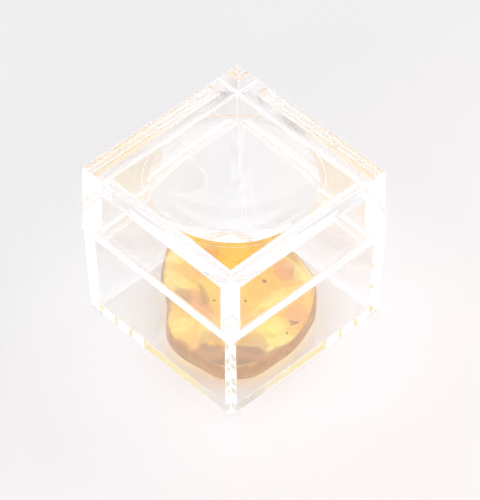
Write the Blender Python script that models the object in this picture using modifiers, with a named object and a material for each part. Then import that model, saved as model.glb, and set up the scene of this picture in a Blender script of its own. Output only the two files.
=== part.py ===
"""Insects in amber in a clear magnifier box.

A slip-on lid with a round lens moulded into its top closes a square box of clear
plastic. A flat polished piece of amber lies on the box's floor. It is parted at
one level, with a pocket there for each insect and crumb that it holds.
Metres, +Z up, origin at the centre of the box's foot.
"""

import math

import bmesh
import bpy
from mathutils import Matrix, Vector

GAP = 0.0003
SMALL = 0.0001

# Box: widths across the flats, walls, and levels above the surface it stands on
HEIGHT = 0.0262
LID_HEIGHT = 0.0115
LID_WIDTH = 0.0280
LID_TOP_WIDTH = 0.0274
LID_WALL = 0.00275
LIP_WALL = 0.0008
LIP_HEIGHT = 0.0016
SHOULDER_WIDTH = 0.0277
FOOT_WIDTH = 0.02705
BASE_WALL = 0.00145
FLOOR = 0.00082
CORNER_RADIUS = 0.0003
EDGE_RADIUS = 0.00015

# Lid top: a thick flat plate with the lens bulging from its underside
PLATE = 0.0039
LENS_RADIUS = 0.01105
LENS_BULGE = 0.0016
LENS_STEPS = 56
LENS_RINGS = 8

# Amber: its outline runs around these points, in the box's diagonal frame, where
# across points to the box's right corner and deep to its back corner
AMBER_THICKNESS = 0.0039
AMBER_EDGE = 0.0012
AMBER_OUTLINE = (
    (0.0002, -0.0136),
    (0.0056, -0.0103),
    (0.0087, -0.0062),
    (0.0102, -0.0010),
    (0.0087, 0.0044),
    (0.0048, 0.0086),
    (-0.0014, 0.0100),
    (-0.0072, 0.0091),
    (-0.0087, 0.0042),
    (-0.0081, -0.0028),
    (-0.0078, -0.0076),
    (-0.0044, -0.0113),
)
PARTING_DEPTH = 0.0012

# Facets worn on the amber's top: place across and deep, level below the top,
# tilt in degrees and the way it falls
FACETS = (
    ((0.0064, -0.0058), 0.00005, 17.0, -40.0),
    ((-0.0060, 0.0062), 0.00010, 15.0, 140.0),
    ((-0.0052, -0.0074), 0.00005, 12.0, -125.0),
)

# Things sealed in the amber, at the parting level
GNAT_PLACE = (0.0073, -0.0056)
GNAT_TURN = 20.0
GNAT_LENGTH = 0.00115
GNAT_LEGS = ((0.16, 0.34, 0.46), (0.06, 0.06, 0.02), (-0.04, -0.22, -0.40))
BEETLE_PLACE = (0.0030, 0.0015)
BEETLE_TURN = -35.0
BEETLE_LENGTH = 0.0007
CRUMB_PLACES = ((0.0005, -0.0020), (-0.0016, -0.0020), (0.0063, -0.0074))
CRUMB_LENGTH = 0.00036

BOX_CENTRE_TURN = math.radians(45)


def clear_scene():
    for thing in list(bpy.data.objects):
        bpy.data.objects.remove(thing, do_unlink=True)


def collection(name):
    made = bpy.data.collections.new(name)
    bpy.context.scene.collection.children.link(made)
    return made


def material(name, colour, roughness, transmission=0.0, ior=1.5):
    made = bpy.data.materials.new(name)
    made.use_nodes = True
    made.diffuse_color = (*colour, 1.0)
    node = made.node_tree.nodes["Principled BSDF"]
    node.inputs["Base Color"].default_value = (*colour, 1.0)
    node.inputs["Roughness"].default_value = roughness
    node.inputs["Metallic"].default_value = 0.0
    node.inputs["Transmission Weight"].default_value = transmission
    node.inputs["IOR"].default_value = ior
    return made


def put(name, mesh, home, finish=None):
    made = bpy.data.objects.new(name, mesh)
    home.objects.link(made)
    if finish is not None:
        mesh.materials.append(finish)
    return made


def put_cutter(name, mesh, cutters):
    made = put(name, mesh, cutters)
    made.hide_render = True
    made.display_type = "WIRE"
    return made


def mesh_of(name, bm):
    mesh = bpy.data.meshes.new(name)
    bm.to_mesh(mesh)
    bm.free()
    return mesh


def combine(target, other, operation):
    step = target.modifiers.new(f"{operation.lower()} {other.name}", "BOOLEAN")
    step.operation = operation
    step.solver = "EXACT"
    step.object = other


def mesh_from(target):
    """The evaluated mesh of an object, with its loose caps welded on."""
    graph = bpy.context.evaluated_depsgraph_get()
    mesh = bpy.data.meshes.new_from_object(target.evaluated_get(graph))
    bm = bmesh.new()
    bm.from_mesh(mesh)
    bmesh.ops.remove_doubles(bm, verts=bm.verts, dist=1e-6)
    bmesh.ops.recalc_face_normals(bm, faces=bm.faces)
    bm.to_mesh(mesh)
    bm.free()
    mesh.transform(target.matrix_world)
    return mesh


def diagonal_place(place, level):
    """A point given across and deep in the box's diagonal frame, in the box's own."""
    across, deep = place
    turned = Matrix.Rotation(BOX_CENTRE_TURN, 3, "Z") @ Vector((across, deep, 0.0))
    return Vector((turned.x, turned.y, level))


def tapered_block(name, lower_width, upper_width, bottom, top, corner, edge=0.0):
    """A square block with rounded uprights and, where edge is given, rounded ends."""
    bm = bmesh.new()
    bmesh.ops.create_cone(
        bm,
        cap_ends=True,
        segments=4,
        radius1=lower_width / math.sqrt(2),
        radius2=upper_width / math.sqrt(2),
        depth=top - bottom,
        matrix=Matrix.Translation((0, 0, (top + bottom) / 2)) @ Matrix.Rotation(BOX_CENTRE_TURN, 4, "Z"),
    )
    uprights = [e for e in bm.edges if abs(e.verts[0].co.z - e.verts[1].co.z) > SMALL]
    bmesh.ops.bevel(bm, geom=uprights, offset=corner, segments=3, profile=0.5, affect="EDGES")
    if edge > 0:
        rims = [e for e in bm.edges if abs(e.verts[0].co.z - e.verts[1].co.z) < SMALL]
        bmesh.ops.bevel(bm, geom=rims, offset=edge, segments=2, profile=0.5, affect="EDGES")
    return mesh_of(name, bm)


def width_at(level, lower_width, upper_width, bottom, top):
    share = (level - bottom) / (top - bottom)
    return lower_width + share * (upper_width - lower_width)


def build_base(parts, cutters, finish):
    """An open cup of even wall that widens a little from its foot to its rim."""
    shoulder = HEIGHT - LID_HEIGHT - GAP
    wide = SHOULDER_WIDTH - 2 * BASE_WALL
    narrow = width_at(FLOOR, FOOT_WIDTH, SHOULDER_WIDTH, 0.0, shoulder) - 2 * BASE_WALL
    over = width_at(shoulder + GAP, narrow, wide, FLOOR, shoulder)

    body = tapered_block("box_base", FOOT_WIDTH, SHOULDER_WIDTH, 0.0, shoulder, CORNER_RADIUS, EDGE_RADIUS)
    base = put("box_base", body, parts, finish)
    cavity = tapered_block("base_cavity", narrow, over, FLOOR, shoulder + GAP, CORNER_RADIUS)
    combine(base, put_cutter("base_cavity", cavity, cutters), "DIFFERENCE")
    return base


def lens_profile():
    """Half the lens in section, from inside the plate out and down to its foot on the axis."""
    plate_foot = HEIGHT - PLATE
    points = [(0.0, 0.0, plate_foot + PLATE / 2), (LENS_RADIUS, 0.0, plate_foot + PLATE / 2)]
    for ring in range(LENS_RINGS, -1, -1):
        reach = ring / LENS_RINGS
        points.append((LENS_RADIUS * reach, 0.0, plate_foot - LENS_BULGE * (1 - reach * reach)))
    return points


def build_lens(cutters):
    bm = bmesh.new()
    verts = [bm.verts.new(point) for point in lens_profile()]
    for start, end in zip(verts, verts[1:]):
        bm.edges.new((start, end))
    lens = put_cutter("lens", mesh_of("lens", bm), cutters)
    turn = lens.modifiers.new("turn", "SCREW")
    turn.angle = math.tau
    turn.steps = LENS_STEPS
    turn.render_steps = LENS_STEPS
    turn.use_merge_vertices = True
    turn.merge_threshold = 1e-6
    return lens


def build_lid(parts, cutters, finish):
    """A thick-walled cap whose lip drops inside the base's rim."""
    bottom = HEIGHT - LID_HEIGHT
    inside = LID_WIDTH - 2 * LID_WALL
    lip_foot = bottom - LIP_HEIGHT

    body = tapered_block("box_lid", LID_WIDTH, LID_TOP_WIDTH, bottom, HEIGHT, CORNER_RADIUS, EDGE_RADIUS)
    lid = put("box_lid", body, parts, finish)
    rim_inside = SHOULDER_WIDTH - 2 * (BASE_WALL + GAP)
    lip = tapered_block("lip", rim_inside, rim_inside, lip_foot, bottom + LIP_HEIGHT, CORNER_RADIUS)
    combine(lid, put_cutter("lip", lip, cutters), "UNION")
    mouth_width = rim_inside - 2 * LIP_WALL
    mouth = tapered_block("lip_mouth", mouth_width, mouth_width, lip_foot - GAP, bottom, CORNER_RADIUS)
    combine(lid, put_cutter("lip_mouth", mouth, cutters), "DIFFERENCE")
    cavity = tapered_block("lid_cavity", inside, inside - 2 * SMALL, bottom - SMALL, HEIGHT - PLATE, CORNER_RADIUS)
    combine(lid, put_cutter("lid_cavity", cavity, cutters), "DIFFERENCE")
    combine(lid, build_lens(cutters), "UNION")
    return lid


def amber_levels():
    bottom = FLOOR + GAP
    top = bottom + AMBER_THICKNESS
    return bottom, top, top - PARTING_DEPTH


def amber_form():
    """The whole amber before it is parted: its outline, thickened with round edges."""
    bottom, top, _ = amber_levels()
    curve = bpy.data.curves.new("amber_outline", "CURVE")
    curve.dimensions = "2D"
    curve.fill_mode = "BOTH"
    curve.extrude = AMBER_THICKNESS / 2 - AMBER_EDGE
    curve.bevel_depth = AMBER_EDGE
    curve.bevel_resolution = 2
    curve.offset = -AMBER_EDGE
    curve.resolution_u = 5
    line = curve.splines.new("BEZIER")
    line.use_cyclic_u = True
    line.bezier_points.add(len(AMBER_OUTLINE) - 1)
    for point, place in zip(line.bezier_points, AMBER_OUTLINE):
        point.co = diagonal_place(place, 0.0)
        point.handle_left_type = "AUTO"
        point.handle_right_type = "AUTO"
    form = bpy.data.objects.new("amber_outline", curve)
    bpy.context.scene.collection.objects.link(form)
    form.location.z = (bottom + top) / 2
    bpy.context.view_layer.update()
    mesh = mesh_from(form)
    bpy.data.objects.remove(form, do_unlink=True)
    return mesh


def slab_cutter(name, place, level, tilt, falls, height, cutters):
    """A block whose lower face, or upper face where height is negative, is the cut."""
    bm = bmesh.new()
    bmesh.ops.create_cube(bm, size=1.0)
    size = 0.04
    bmesh.ops.scale(bm, vec=(size, size, abs(height)), verts=bm.verts)
    bmesh.ops.translate(bm, vec=(0, 0, height / 2), verts=bm.verts)
    made = put_cutter(name, mesh_of(name, bm), cutters)
    made.location = diagonal_place(place, level)
    turn = Matrix.Rotation(math.radians(falls) + BOX_CENTRE_TURN, 3, "Z")
    lean = Matrix.Rotation(math.radians(tilt), 3, "Y")
    made.rotation_euler = (turn @ lean @ turn.inverted()).to_euler()
    return made


def pocket_cutter(name, place, level, length, width, height, turn, cutters):
    bm = bmesh.new()
    bmesh.ops.create_uvsphere(bm, u_segments=16, v_segments=8, radius=0.5)
    bmesh.ops.scale(bm, vec=(length, width, height), verts=bm.verts)
    made = put_cutter(name, mesh_of(name, bm), cutters)
    made.location = diagonal_place(place, level)
    made.rotation_euler.z = BOX_CENTRE_TURN + math.radians(turn)
    return made


def build_amber(parts, cutters, finish):
    """Two halves that meet at the parting level, hollowed there for what they hold."""
    _, top, parting = amber_levels()
    form = amber_form()
    facets = [
        slab_cutter(f"facet_{number}", place, top - sunk, tilt, falls, 0.004, cutters)
        for number, (place, sunk, tilt, falls) in enumerate(FACETS, 1)
    ]
    pockets = [
        pocket_cutter("gnat_pocket", GNAT_PLACE, parting, 1.6 * GNAT_LENGTH, 1.6 * GNAT_LENGTH,
                      0.8 * GNAT_LENGTH, GNAT_TURN, cutters),
        pocket_cutter("beetle_pocket", BEETLE_PLACE, parting, 2.2 * BEETLE_LENGTH, 2.2 * BEETLE_LENGTH,
                      1.6 * BEETLE_LENGTH, BEETLE_TURN, cutters),
    ]
    for number, place in enumerate(CRUMB_PLACES, 1):
        pockets.append(pocket_cutter(f"crumb_pocket_{number}", place, parting, 2.6 * CRUMB_LENGTH,
                                     2.6 * CRUMB_LENGTH, 2.2 * CRUMB_LENGTH, 0.0, cutters))
    above = slab_cutter("above_parting", (0, 0), parting - GAP / 2, 0.0, 0.0, 0.01, cutters)
    below = slab_cutter("below_parting", (0, 0), parting + GAP / 2, 0.0, 0.0, -0.01, cutters)

    lower = put("amber_lower", form, parts, finish)
    combine(lower, above, "DIFFERENCE")
    upper = put("amber_upper", form.copy(), parts)
    for facet in facets:
        combine(upper, facet, "DIFFERENCE")
    combine(upper, below, "DIFFERENCE")
    for pocket in pockets:
        combine(lower, pocket, "DIFFERENCE")
        combine(upper, pocket, "DIFFERENCE")
    return lower, upper


def blob(name, place, size, segments=12, rings=8):
    bm = bmesh.new()
    bmesh.ops.create_uvsphere(bm, u_segments=segments, v_segments=rings, radius=0.5)
    bmesh.ops.scale(bm, vec=size, verts=bm.verts)
    bmesh.ops.translate(bm, vec=place, verts=bm.verts)
    return mesh_of(name, bm)


def tube(name, points, radius):
    """A leg or feeler: a thin tube along a few points, as a welded mesh."""
    curve = bpy.data.curves.new(name, "CURVE")
    curve.dimensions = "3D"
    curve.bevel_depth = radius
    curve.bevel_resolution = 1
    curve.use_fill_caps = True
    line = curve.splines.new("POLY")
    line.points.add(len(points) - 1)
    for point, place in zip(line.points, points):
        point.co = (*place, 1.0)
    made = bpy.data.objects.new(name, curve)
    bpy.context.scene.collection.objects.link(made)
    bpy.context.view_layer.update()
    mesh = mesh_from(made)
    bpy.data.objects.remove(made, do_unlink=True)
    return mesh


def gnat_limbs():
    """Legs, feelers and wings of the gnat, in units of its length."""
    limbs = []
    for side in (-1, 1):
        for number, (root, knee, foot) in enumerate(GNAT_LEGS, 1):
            points = ((root, side * 0.05, -0.03), (knee, side * 0.26, 0.06), (foot, side * 0.50, -0.08))
            limbs.append(tube(f"leg_{side}_{number}", points, 0.022))
        feeler = ((0.33, side * 0.04, 0.0), (0.47, side * 0.11, 0.05), (0.57, side * 0.17, 0.02))
        limbs.append(tube(f"feeler_{side}", feeler, 0.018))
        wing = blob(f"wing_{side}", (0, 0, 0), (0.66, 0.22, 0.05), 12, 6)
        lie = Matrix.Translation((-0.20, side * 0.15, 0.12))
        wing.transform(lie @ Matrix.Rotation(-side * math.radians(18), 4, "Z"))
        limbs.append(wing)
    return limbs


def build_gnat(parts, cutters, finish):
    """The gnat is modelled one unit long, and its objects are scaled to its real length."""
    _, _, parting = amber_levels()
    gnat = put("gnat", blob("gnat", (0.08, 0, 0), (0.34, 0.27, 0.30)), parts, finish)
    gnat.location = diagonal_place(GNAT_PLACE, parting)
    gnat.rotation_euler.z = BOX_CENTRE_TURN + math.radians(GNAT_TURN)
    gnat.scale = (GNAT_LENGTH, GNAT_LENGTH, GNAT_LENGTH)
    pieces = [
        blob("head", (0.28, 0.004, -0.02), (0.20, 0.19, 0.19), 11, 7),
        blob("abdomen", (-0.26, 0.003, -0.01), (0.52, 0.20, 0.20), 13, 9),
    ]
    for piece in pieces + gnat_limbs():
        limb = put_cutter(piece.name, piece, cutters)
        limb.parent = gnat
        combine(gnat, limb, "UNION")
    return gnat


def build_beetle(parts, finish):
    _, _, parting = amber_levels()
    size = BEETLE_LENGTH
    beetle = put("beetle", blob("beetle", (0, 0, 0), (size, 0.72 * size, 0.5 * size), 14, 8), parts, finish)
    beetle.location = diagonal_place(BEETLE_PLACE, parting)
    beetle.rotation_euler.z = BOX_CENTRE_TURN + math.radians(BEETLE_TURN)
    return beetle


def build_crumbs(parts, finish):
    _, _, parting = amber_levels()
    for number, place in enumerate(CRUMB_PLACES, 1):
        size = CRUMB_LENGTH
        mesh = blob(f"crumb_{number}", (0, 0, 0), (size, 0.8 * size, 0.6 * size), 8, 6)
        crumb = put(f"crumb_{number}", mesh, parts, finish)
        crumb.location = diagonal_place(place, parting)
        crumb.rotation_euler.z = math.radians(40 * number)


def smooth(parts):
    for thing in parts.objects:
        thing.data.shade_smooth()
        thing.data.set_sharp_from_angle(angle=math.radians(30))


def main():
    clear_scene()
    parts = collection("insect in amber")
    cutters = collection("cutters")
    plastic = material("clear plastic", (0.96, 0.97, 0.98), 0.02, 1.0, 1.59)
    amber = material("amber", (0.95, 0.56, 0.14), 0.05, 1.0, 1.54)
    chitin = material("insect chitin", (0.16, 0.07, 0.03), 0.4)
    build_base(parts, cutters, plastic)
    build_lid(parts, cutters, plastic)
    build_amber(parts, cutters, amber)
    build_gnat(parts, cutters, chitin)
    build_beetle(parts, chitin)
    build_crumbs(parts, chitin)
    smooth(parts)


if __name__ == "__main__":
    main()
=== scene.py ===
"""The looks of a polished amber piece with insects, in its clear magnifier box.

Laid out as an add-on: sizes and colours are properties, each piece has its own
operator, and one panel lists them. Metres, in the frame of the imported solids.
"""

import math

import bmesh
import bpy
from bpy.props import FloatProperty, FloatVectorProperty, IntProperty, PointerProperty
from mathutils import Matrix, Vector, noise


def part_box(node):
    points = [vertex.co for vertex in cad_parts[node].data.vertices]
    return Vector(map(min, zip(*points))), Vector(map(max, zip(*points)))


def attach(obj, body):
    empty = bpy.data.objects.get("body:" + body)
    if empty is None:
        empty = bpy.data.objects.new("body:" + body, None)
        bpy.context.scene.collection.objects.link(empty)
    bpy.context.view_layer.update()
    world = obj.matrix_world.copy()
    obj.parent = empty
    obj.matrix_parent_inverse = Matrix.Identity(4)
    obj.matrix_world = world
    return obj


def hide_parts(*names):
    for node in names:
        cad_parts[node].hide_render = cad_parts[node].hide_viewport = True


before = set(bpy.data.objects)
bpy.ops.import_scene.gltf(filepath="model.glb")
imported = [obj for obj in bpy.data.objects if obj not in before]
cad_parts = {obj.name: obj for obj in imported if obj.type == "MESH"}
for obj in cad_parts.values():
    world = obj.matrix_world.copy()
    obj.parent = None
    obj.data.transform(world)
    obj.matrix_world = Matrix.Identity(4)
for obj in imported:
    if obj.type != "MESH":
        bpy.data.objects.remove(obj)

bl_info = {
    "name": "Insects in amber",
    "version": (1, 0, 0),
    "blender": (4, 5, 0),
    "location": "View3D > Sidebar > Amber",
    "description": "Builds a polished amber piece with insects, in a clear magnifier box",
    "category": "Object",
}

EIGHTH_TURN = math.radians(45)

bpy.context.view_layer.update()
BASE_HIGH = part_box("box_base")[1]
LID_LOW, LID_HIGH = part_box("box_lid")
AMBER_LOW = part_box("amber_lower")[0]
AMBER_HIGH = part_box("amber_upper")[1]

# The camera, fitted to the corners of the box as the picture shows them, in pixels
CAMERA_AZIMUTH = math.radians(46.87)
CAMERA_ELEVATION = math.radians(46.6)
CAMERA_ROLL = math.radians(-0.47)
CAMERA_DISTANCE = 0.45
PIXELS_PER_METRE = 7680.0
PICTURE_WIDTH, PICTURE_HEIGHT = 480, 500
BOX_CENTRE_PIXEL = (234.3, 239.8)

# The surround: how nearly a direction points at the slit or the opening, from the edge
# of each to its full depth, and how far to the side of the slit's middle it turns warm
SLIT_EDGE = (0.9970, 0.9988)
WARM_EDGE = (0.008, 0.012)
OPENING_EDGE = (0.985, 0.997)
LIGHT_BOUNCES = 256
DIFFUSE_BOUNCES = 8
TRANSPARENT_BOUNCES = 40

# The ground: where its colour turns lighter (painted light) and warmer to the right, a painted
# pool of light and a small soft painted shade
GROUND_RADIUS = 1.5
GROUND_DROP = 0.00003
GROUND_TURN = 0.03226
POOL_REACH = (0.010, 0.036)
POOL_GAIN = 1.13
SHADE_PLACE = (-0.0097, 0.0112, 0.0)
SHADE_REACH = (0.0014, 0.0037)
SHADE_DEPTH = 0.66
GROUND_MOTTLING = 0.985
GROUND_TOOTH = (26.0, (0.35, 0.75))

# Box: steps round each side and corner, roundings and clearances that aren't sizes to set
SIDE_STEPS = 22
CORNER_STEPS = 6
EDGE_STEPS = 6
LEAST_CORNER = 0.00006
BASE_INNER_CORNER = 0.0002
BASE_FILLET = 0.0002
BASE_RIM = 0.00012
LIP_CLEARANCE = 0.0003
LIP_END_SHARE = 0.46
LID_FILLET = 0.00015
LID_DRAFT = 0.0001
STEP_BEVEL = 0.00006
STEP_INSET = 0.00004
LENS_RINGS = 26
LIP_MATT_REACH, LIP_MATT = 0.00082, 0.6
FOOT_MATT_REACH, FOOT_MATT = 0.00014, 0.25
PLASTIC_IOR = 1.59
# Rubs from handling: clean and rubbed roughness, rubs per metre and rubbed share
PLASTIC_RUBS = (0.0, 0.05, 420.0, 0.05)
AMBER_RUBS = (0.01, 0.12, 700.0, 0.12)
# Bumps that the rubs make: their height and strength
PLASTIC_BUMPS = (0.000004, 0.4)
AMBER_BUMPS = (0.00003, 0.5)

# The amber's outline, across to the box's right corner and deep to its back corner
AMBER_OUTLINE = (
    (0.0002, -0.0136),
    (0.0056, -0.0103),
    (0.0087, -0.0062),
    (0.0102, -0.0010),
    (0.0087, 0.0044),
    (0.0048, 0.0086),
    (-0.0014, 0.0100),
    (-0.0072, 0.0091),
    (-0.0087, 0.0042),
    (-0.0081, -0.0028),
    (-0.0078, -0.0076),
    (-0.0044, -0.0113),
)
AMBER_SIDES = 220
AMBER_FLAT_RINGS = 44
AMBER_EDGE_RINGS = 16
AMBER_IOR = 1.54
SIDE_ROUGHNESS = 0.35
# Facets on the top: place, level below the top, tilt in degrees and the way it falls
FACETS = (
    ((0.0064, -0.0058), 0.00005, 17.0, -40.0),
    ((-0.0060, 0.0062), 0.00010, 15.0, 140.0),
    ((-0.0052, -0.0074), 0.00005, 12.0, -125.0),
)
FACET_SOFTNESS = 0.00006
# Swells of the surface, wide and narrow, and how much of a wide one's height a narrow one has
WIDE_SWELL, NARROW_SWELL, NARROW_SHARE = 0.0046, 0.0019, 0.4
# Shares of the height above which the top swells and below which the hollows reach
SWELLS_ABOVE, HOLLOWS_BELOW = 0.6, 0.4
# How far a hollow reaches from its middle, in hollow widths, and how uneven its depth is
HOLLOW_REACH, HOLLOW_UNEVENNESS = 0.62, 0.3
# Heights over the amber's foot between which its underside's tint gives way to the top's
UNDERSIDE_ENDS = (0.0010, 0.0014)
# How level the surface is where the rind on the sides is whole, and where it has gone
RIND_ENDS = (0.55, 0.96)
# Clouds in the resin, on its underside and in its rind: their colour or the share left of
# the rind's, how many a metre, and the noise levels between which they darken
RESIN_TINT, RESIN_CLOUDS = (1.0, 0.94, 0.72), (210.0, (0.42, 0.66))
UNDERSIDE_TINT, UNDERSIDE_CLOUDS = (1.0, 0.60, 0.22), (330.0, (0.44, 0.58))
RIND_SHARE, RIND_CLOUDS = 0.6, (520.0, (0.42, 0.60))
# How the stains' borders wander: waves a metre and reach
BORDER_WANDER = (520.0, 0.0016)
# Tints that the resin and its crust take
TINTS = {
    "pale": (1.0, 1.0, 0.95),
    "yellow": (1.0, 0.97, 0.55),
    "orange": (1.0, 0.56, 0.30),
    "rose": (0.88, 0.40, 0.56),
    "tan": (0.62, 0.43, 0.42),
    "brown": (0.44, 0.22, 0.24),
    "dark_mauve": (0.40, 0.24, 0.42),
    "umber": (0.16, 0.12, 0.20),
}
# Where the underside's tint changes: place, length, width, turn, softness, tint
STAINS = (
    ((-0.0075, 0.0066), 0.0030, 0.0026, 10.0, 0.16, "pale"),
    ((-0.0068, 0.0050), 0.0024, 0.0012, -35.0, 0.30, "orange"),
    ((-0.0064, 0.0028), 0.0044, 0.0018, -38.0, 0.20, "pale"),
    ((-0.0040, -0.0014), 0.0064, 0.0030, -48.0, 0.20, "rose"),
    ((-0.0058, 0.0004), 0.0034, 0.0014, -46.0, 0.35, "brown"),
    ((-0.0032, 0.0005), 0.0038, 0.0010, -66.0, 0.35, "brown"),
    ((0.0056, 0.0048), 0.0030, 0.0038, 20.0, 0.16, "rose"),
    ((0.0071, 0.0073), 0.0024, 0.0014, -35.0, 0.30, "brown"),
    ((0.0070, 0.0050), 0.0014, 0.0007, 10.0, 0.50, "tan"),
    ((0.0081, 0.0044), 0.0024, 0.0032, 30.0, 0.18, "pale"),
    ((0.0037, -0.0004), 0.0052, 0.0012, 45.0, 0.25, "pale"),
    ((0.0056, 0.0004), 0.0066, 0.0007, 44.0, 0.35, "yellow"),
    ((0.0072, -0.0004), 0.0044, 0.0020, 40.0, 0.25, "orange"),
    ((0.0041, -0.0049), 0.0038, 0.0024, 25.0, 0.14, "yellow"),
    ((0.0074, -0.0026), 0.0036, 0.0022, 50.0, 0.18, "rose"),
    ((0.0046, -0.0077), 0.0050, 0.0022, 36.0, 0.12, "pale"),
    ((-0.0056, -0.0048), 0.0034, 0.0018, 20.0, 0.30, "yellow"),
    ((-0.0030, -0.0056), 0.0020, 0.0016, 40.0, 0.20, "yellow"),
    ((-0.0020, -0.0078), 0.0031, 0.0031, 0.0, 0.10, "tan"),
    ((0.0018, -0.0082), 0.0036, 0.0034, -20.0, 0.10, "tan"),
    ((-0.0034, 0.0052), 0.0030, 0.0022, 30.0, 0.22, "rose"),
)
# Darker tints on the top at the front, given as the stains are
FRONT_TINTS = (
    ((-0.0012, -0.0124), 0.0118, 0.0040, 0.0, 0.16, "dark_mauve"),
    ((-0.0060, -0.0104), 0.0034, 0.0018, -40.0, 0.25, "dark_mauve"),
    ((0.0052, -0.0103), 0.0046, 0.0010, 36.0, 0.35, "dark_mauve"),
    ((0.0006, -0.0131), 0.0050, 0.0014, 0.0, 0.35, "umber"),
    ((-0.0030, -0.0104), 0.0016, 0.0010, 20.0, 0.30, "brown"),
)

# What the amber holds, all of it at one level
SEALED_LEVEL = AMBER_HIGH.z - 0.0012
SPECK_DEPTH = 0.0011
GNAT_PLACE, GNAT_TURN = (0.0073, -0.0056), 20.0
BEETLE_PLACE, BEETLE_TURN = (0.0030, 0.0015), -35.0
CRUMB_PLACES = ((0.0005, -0.0020), (-0.0016, -0.0020), (0.0063, -0.0074))
# Segments, in lengths of the insect: sides, start, end, half width, half height, lift,
# steps, and for the gnat's abdomen its tip, how deep its rings are and how many
GNAT_SEGMENTS = (
    (20, -0.10, 0.25, 0.13, 0.15, 0.01, 12),
    (18, -0.50, -0.02, 0.095, 0.095, -0.01, 40, 0.10, 0.16, 7),
    (16, 0.20, 0.36, 0.085, 0.090, -0.02, 10),
    (8, 0.34, 0.44, 0.022, 0.022, -0.08, 6),
)
GNAT_EYE = (14, 0.255, 0.355, 0.045, 0.060, -0.015, 10)
BEETLE_SEGMENTS = (
    (24, 0.14, 0.40, 0.27, 0.17, -0.02, 12),
    (18, 0.32, 0.50, 0.15, 0.11, -0.04, 10),
)
BEETLE_LEG = (8, -0.13, 0.13, 0.028, 0.024, 0.0, 8)
# Legs: where along the gnat the hip, knee and foot are
GNAT_LEGS = ((0.16, 0.34, 0.46), (0.06, 0.06, 0.02), (-0.04, -0.22, -0.40))
GNAT_FEELER = ((0.33, 0.03, 0.02), (0.42, 0.08, 0.06), (0.51, 0.13, 0.05), (0.58, 0.17, 0.02))
WING_SIDES = 36
WING_MIDDLE = -0.34
WING_HALF_LENGTH, WING_HALF_WIDTH, WING_TAPER = 0.35, 0.115, 0.35
WING_HALF_THICKNESS = 0.006
WING_ROOT, WING_SPREAD, WING_DROOP = (0.02, 0.07, 0.13), 18.0, 7.0
WING_CELLS = 7000.0
VEIN_EDGE = (0.03, 0.10)
# Rings over a wing and back under it: share of the way to its edge, and lift
WING_RINGS = ((0.02, 1), (0.5, 1), (0.9, 0.8), (1.0, 0), (0.9, -0.8), (0.5, -1), (0.02, -1))
# Shells: colour, share left of it in the clouds, roughness, coat, clouds and pits per
# metre, and how deep the pits are
SHELLS = {
    "dust": ("bark", 0.5, 0.7, 0.0, 9000.0, 60000.0, 0.000002),
    "gnat chitin": ("chitin", 0.45, 0.32, 0.3, 9000.0, 90000.0, 0.000002),
    "gnat eye": ("eye", 0.5, 0.2, 0.6, 20000.0, 120000.0, 0.000002),
    "beetle chitin": ("chitin", 0.5, 0.25, 0.5, 12000.0, 70000.0, 0.000003),
    "bark": ("bark", 0.4, 0.7, 0.0, 12000.0, 60000.0, 0.000006),
}


def length(name, description, default):
    limits = {"min": 0.0, "max": 0.1, "unit": "LENGTH", "precision": 5}
    return FloatProperty(name=name, description=description, default=default, **limits)


def colour(name, description, default):
    limits = {"size": 3, "min": 0.0, "max": 1.0, "subtype": "COLOR"}
    return FloatVectorProperty(name=name, description=description, default=default, **limits)


def amount(name, description, default):
    return FloatProperty(name=name, description=description, default=default)


def count(name, description, default):
    return IntProperty(name=name, description=description, default=default, min=0)


class BoxSizes(bpy.types.PropertyGroup):
    lid_width: length("Lid width", "Across the lid's foot", 0.0280)
    lid_top_width: length("Lid top width", "Across the lid's top", 0.0274)
    lid_foot: length("Lid foot", "Height of the joint above the ground", LID_HIGH.z - 0.0115)
    lid_wall: length("Lid wall", "Thickness of the lid's wall", 0.00275)
    plate: length("Top plate", "Thickness of the lid's top", 0.0039)
    lip_wall: length("Lip wall", "Thickness of the lip inside the base's rim", 0.0008)
    lens_radius: length("Lens radius", "Radius of the round lens", 0.01105)
    lens_bulge: length("Lens bulge", "How far the lens bulges below its rim", 0.0016)
    shoulder_width: length("Shoulder width", "Across the base's rim", 0.0277)
    foot_width: length("Foot width", "Across the base's foot", 0.02705)
    base_wall: length("Base wall", "Thickness of the base's wall", 0.00145)
    floor: length("Floor", "Thickness of the base's floor", 0.00082)
    corner_radius: length("Corner radius", "Rounding of the uprights", 0.00015)
    edge_radius: length("Edge radius", "Rounding of the level edges", 0.00015)
    lens_step: length("Lens step", "Height of the low step round the lens", 0.00012)
    step_width: length("Step width", "How far the low step reaches beyond the lens", 0.0008)
    foot_rise: length("Foot rise", "How far the lid's foot rises inwards", 0.00024)


class AmberSizes(bpy.types.PropertyGroup):
    edge: length("Edge rounding", "Radius of the worn rim", 0.0012)
    unevenness: length("Unevenness", "Swell of the polished top", 0.00003)
    hollows: length("Hollows", "Depth of the shell-like hollows underneath", 0.00045)
    hollow_width: length("Hollow width", "Width of the hollows underneath", 0.0040)
    speck_size: length("Speck size", "Size of the dust specks sealed in", 0.00006)
    speck_count: count("Speck density", "Specks on a square centimetre", 26)
    seed: count("Seed", "Fixes the scatter of the specks", 7)


class InsectSizes(bpy.types.PropertyGroup):
    gnat_length: length("Gnat length", "From its head to the tip of its abdomen", 0.00115)
    leg_radius: length("Leg radius", "Radius of the gnat's legs at the thigh", 0.000018)
    beetle_length: length("Beetle length", "Length of the beetle", 0.0007)
    crumb_length: length("Crumb length", "Length of the crumbs of bark", 0.00036)


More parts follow.
